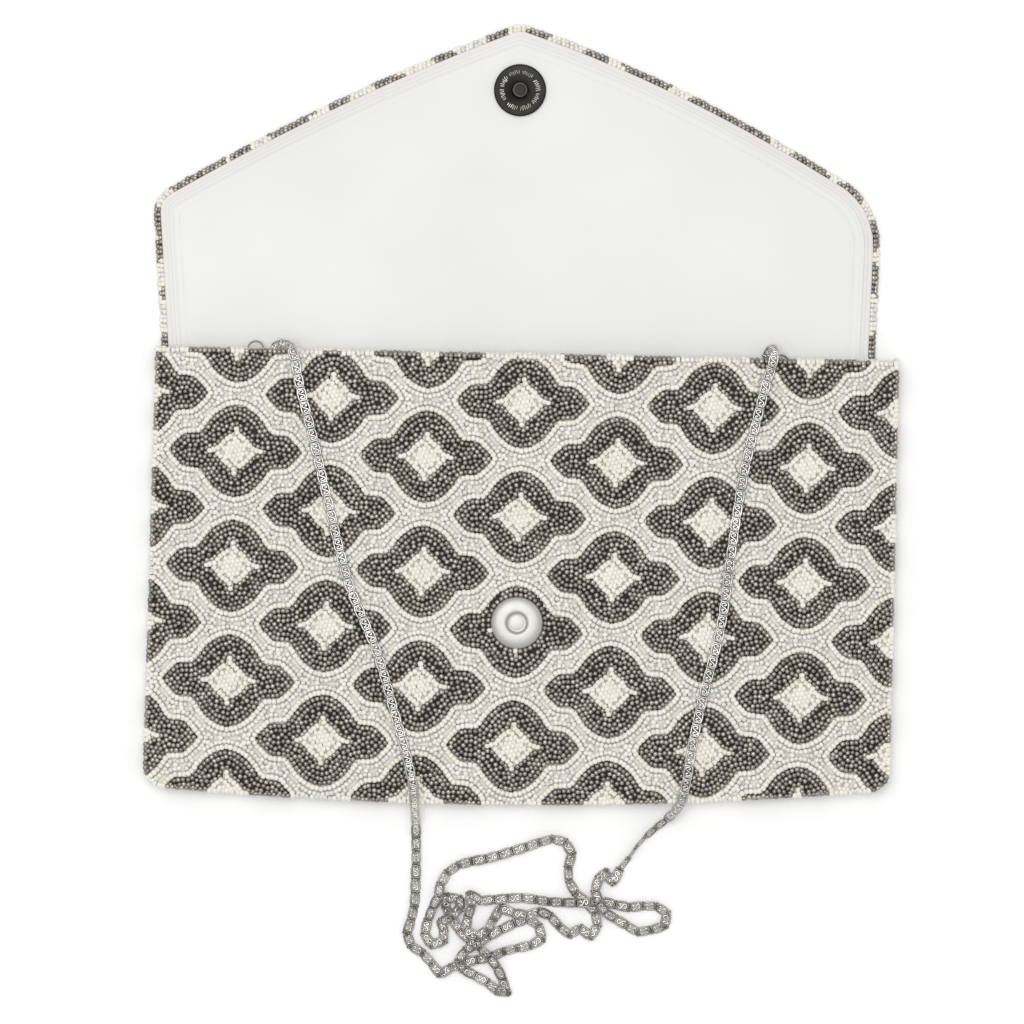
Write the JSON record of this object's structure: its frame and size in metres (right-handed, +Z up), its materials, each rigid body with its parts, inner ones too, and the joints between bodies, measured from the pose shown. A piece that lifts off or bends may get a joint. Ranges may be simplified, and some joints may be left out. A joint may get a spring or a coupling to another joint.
{
  "type": "beaded envelope clutch purse",
  "caption": "Envelope clutch with beaded panels, a satin-lined fold-over flap, a magnetic snap and a chain strap, lying open on its back.",
  "frame": {"origin": "on the table under the middle of the purse, halfway between the tip of the open flap and the lowest point of the bottom edge, measured without the chain", "axes": "+Z up out of the front panel, +Y from the pouch towards the tip of the open flap, +X to the right when the front faces the viewer"},
  "size_m": [0.2572, 0.3369, 0.0134],
  "materials": {
    "glass_beads": "rows of glossy seed beads sewn on fabric",
    "interfacing": "matt",
    "white_satin": "satin",
    "ribbon": "matt",
    "polished_nickel": "polished",
    "gunmetal": "polished dark plating",
    "magnet": "plain",
    "plain_steel": "plain",
    "silver_chain": "polished"
  },
  "bodies": {
    "pouch": {"back_beading": "glass_beads", "back_interfacing": "interfacing", "back_lining": "white_satin", "front_beading": "glass_beads", "front_interfacing": "interfacing", "front_lining": "white_satin", "side_seam_left": "ribbon", "side_seam_right": "ribbon", "bottom_seam": "ribbon", "snap_socket_case": "polished_nickel", "snap_socket_magnet": "magnet", "snap_socket_base": "polished_nickel", "snap_socket_washer": "plain_steel", "strap_tab_left": "ribbon", "strap_tab_right": "ribbon", "jump_ring_left": "polished_nickel", "jump_ring_right": "polished_nickel", "chain_end_ring_left": "silver_chain", "chain_end_ring_right": "silver_chain", "chain": "silver_chain"},
    "flap": {"flap_beading": "glass_beads", "flap_interfacing": "interfacing", "flap_lining": "white_satin", "flap_piping": "white_satin", "snap_stud_plate": "gunmetal", "snap_stud_post": "gunmetal", "snap_stud_washer": "plain_steel"}
  },
  "joints": [
    {"name": "flap_fold", "type": "hinge", "parent": "pouch", "child": "flap", "pos_m": [0, 0.02005, 0.00845], "axis": [1, 0, 0], "range_deg": [0, 179.9]}
  ]
}
